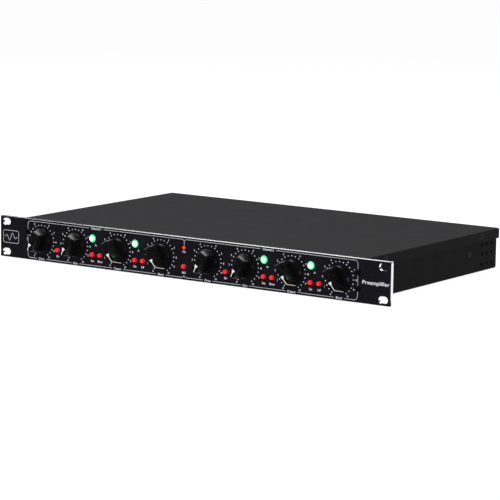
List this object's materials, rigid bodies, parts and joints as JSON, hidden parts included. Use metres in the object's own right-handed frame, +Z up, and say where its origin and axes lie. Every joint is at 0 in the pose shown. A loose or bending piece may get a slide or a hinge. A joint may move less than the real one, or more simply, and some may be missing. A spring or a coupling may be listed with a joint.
{
  "type": "rack microphone preamp",
  "caption": "Slim rack-mount preamp: black slotted front panel with pointer knobs, red push buttons and lamps, folded steel case, rear sockets, mains inlet and switch.",
  "frame": {"origin": "centre of the rack-slot pattern on the front panel's rear face", "axes": "+X to the right seen from the front, +Y to the rear, +Z up"},
  "size_m": [0.4826, 0.2803, 0.0436],
  "materials": {
    "panel_black": "black anodised face with fine grain, bare machined edges",
    "case_black": "fine black powder coat",
    "cover_grey": "fine dark grey powder coat",
    "black_steel": "black oxide",
    "circuit_board": "green solder mask",
    "bright_metal": "nickel plate",
    "contact_metal": "gold-plated",
    "can_metal": "drawn screening can",
    "capacitor_sleeve": "printed sleeve",
    "bare_aluminium": "extruded, plain",
    "winding_tape": "polyester tape over the winding",
    "black_plastic": "moulded, satin",
    "socket_black": "black chromate, satin",
    "ribbon_grey": "ribbed flat cable",
    "knob_black": "moulded, glossy",
    "button_red": "moulded, satin",
    "green_lamp": "clear tinted lens, lit",
    "orange_lamp": "clear tinted lens, lit"
  },
  "bodies": {
    "chassis": {"front_panel": "panel_black", "base_tray": "case_black", "rear_panel": "case_black", "top_cover": "cover_grey", "panel_screws": "black_steel", "side_screws": "black_steel", "rear_screws": "black_steel", "front_board": "circuit_board", "pot_bodies": "bright_metal", "pot_nuts": "bright_metal", "switch_bodies": "black_plastic", "level_leds": "green_lamp", "power_led": "orange_lamp", "main_board": "circuit_board", "board_fixings": "bright_metal", "audio_transformers": "can_metal", "capacitors": "capacitor_sleeve", "heatsink": "bare_aluminium", "regulators": "black_plastic", "mains_transformer": "winding_tape", "transformer_clamp": "bright_metal", "iec_inlet": "black_plastic", "iec_pins": "bright_metal", "fuse_drawer": "black_plastic", "rocker_frame": "black_plastic", "input_sockets": "socket_black", "output_sockets": "socket_black", "socket_contacts": "contact_metal", "ribbon_cable": "ribbon_grey", "ribbon_headers": "black_plastic"},
    "turn_drive_1": {"knob_drive_1": "knob_black", "shaft_drive_1": "bright_metal"},
    "turn_gain_1": {"knob_gain_1": "knob_black", "shaft_gain_1": "bright_metal"},
    "turn_output_1": {"knob_output_1": "knob_black", "shaft_output_1": "bright_metal"},
    "turn_blend_1": {"knob_blend_1": "knob_black", "shaft_blend_1": "bright_metal"},
    "turn_drive_2": {"knob_drive_2": "knob_black", "shaft_drive_2": "bright_metal"},
    "turn_gain_2": {"knob_gain_2": "knob_black", "shaft_gain_2": "bright_metal"},
    "turn_output_2": {"knob_output_2": "knob_black", "shaft_output_2": "bright_metal"},
    "turn_blend_2": {"knob_blend_2": "knob_black", "shaft_blend_2": "bright_metal"},
    "press_tx_1": {"button_tx_1": "button_red"},
    "press_set_1": {"button_set_1": "button_red"},
    "press_even_1": {"button_even_1": "button_red"},
    "press_ge_1": {"button_ge_1": "button_red"},
    "press_hf_1": {"button_hf_1": "button_red"},
    "press_tx_2": {"button_tx_2": "button_red"},
    "press_set_2": {"button_set_2": "button_red"},
    "press_even_2": {"button_even_2": "button_red"},
    "press_ge_2": {"button_ge_2": "button_red"},
    "press_hf_2": {"button_hf_2": "button_red"},
    "press_centre": {"button_centre": "button_red"},
    "rocker": {"rocker": "black_plastic"},
    "latch_1": {"latch_1": "bright_metal"},
    "latch_2": {"latch_2": "bright_metal"}
  },
  "joints": [
    {"name": "turn_drive_1", "type": "hinge", "parent": "chassis", "child": "turn_drive_1", "pos_m": [-0.1854, -0.003, 0], "axis": [0, 1, 0], "range_deg": [0, 300]},
    {"name": "turn_gain_1", "type": "hinge", "parent": "chassis", "child": "turn_gain_1", "pos_m": [-0.1404, -0.003, 0], "axis": [0, 1, 0], "range_deg": [0, 300]},
    {"name": "turn_output_1", "type": "hinge", "parent": "chassis", "child": "turn_output_1", "pos_m": [-0.0854, -0.003, 0], "axis": [0, 1, 0], "range_deg": [-300, 0]},
    {"name": "turn_blend_1", "type": "hinge", "parent": "chassis", "child": "turn_blend_1", "pos_m": [-0.0304, -0.003, 0], "axis": [0, 1, 0], "range_deg": [-300, 0]},
    {"name": "turn_drive_2", "type": "hinge", "parent": "chassis", "child": "turn_drive_2", "pos_m": [0.0278, -0.003, 0], "axis": [0, 1, 0], "range_deg": [0, 300]},
    {"name": "turn_gain_2", "type": "hinge", "parent": "chassis", "child": "turn_gain_2", "pos_m": [0.0728, -0.003, 0], "axis": [0, 1, 0], "range_deg": [0, 300]},
    {"name": "turn_output_2", "type": "hinge", "parent": "chassis", "child": "turn_output_2", "pos_m": [0.1278, -0.003, 0], "axis": [0, 1, 0], "range_deg": [-300, 0]},
    {"name": "turn_blend_2", "type": "hinge", "parent": "chassis", "child": "turn_blend_2", "pos_m": [0.1828, -0.003, 0], "axis": [0, 1, 0], "range_deg": [-300, 0]},
    {"name": "press_tx_1", "type": "slide", "parent": "chassis", "child": "press_tx_1", "axis": [0, 1, 0], "range_m": [0, 0.002], "stiffness_N_per_m": 600},
    {"name": "press_set_1", "type": "slide", "parent": "chassis", "child": "press_set_1", "axis": [0, 1, 0], "range_m": [0, 0.002], "stiffness_N_per_m": 600},
    {"name": "press_even_1", "type": "slide", "parent": "chassis", "child": "press_even_1", "axis": [0, 1, 0], "range_m": [0, 0.002], "stiffness_N_per_m": 600},
    {"name": "press_ge_1", "type": "slide", "parent": "chassis", "child": "press_ge_1", "axis": [0, 1, 0], "range_m": [0, 0.002], "stiffness_N_per_m": 600},
    {"name": "press_hf_1", "type": "slide", "parent": "chassis", "child": "press_hf_1", "axis": [0, 1, 0], "range_m": [0, 0.002], "stiffness_N_per_m": 600},
    {"name": "press_tx_2", "type": "slide", "parent": "chassis", "child": "press_tx_2", "axis": [0, 1, 0], "range_m": [0, 0.002], "stiffness_N_per_m": 600},
    {"name": "press_set_2", "type": "slide", "parent": "chassis", "child": "press_set_2", "axis": [0, 1, 0], "range_m": [0, 0.002], "stiffness_N_per_m": 600},
    {"name": "press_even_2", "type": "slide", "parent": "chassis", "child": "press_even_2", "axis": [0, 1, 0], "range_m": [0, 0.002], "stiffness_N_per_m": 600},
    {"name": "press_ge_2", "type": "slide", "parent": "chassis", "child": "press_ge_2", "axis": [0, 1, 0], "range_m": [0, 0.002], "stiffness_N_per_m": 600},
    {"name": "press_hf_2", "type": "slide", "parent": "chassis", "child": "press_hf_2", "axis": [0, 1, 0], "range_m": [0, 0.002], "stiffness_N_per_m": 600},
    {"name": "press_centre", "type": "slide", "parent": "chassis", "child": "press_centre", "axis": [0, 1, 0], "range_m": [0, 0.002], "stiffness_N_per_m": 600},
    {"name": "mains_rocker", "type": "hinge", "parent": "chassis", "child": "rocker", "pos_m": [0.128, 0.251, -0.0012], "axis": [1, 0, 0], "range_deg": [-18, 0]},
    {"name": "latch_1", "type": "slide", "parent": "chassis", "child": "latch_1", "axis": [0, -1, 0], "range_m": [0, 0.0012], "stiffness_N_per_m": 800},
    {"name": "latch_2", "type": "slide", "parent": "chassis", "child": "latch_2", "axis": [0, -1, 0], "range_m": [0, 0.0012], "stiffness_N_per_m": 800}
  ]
}
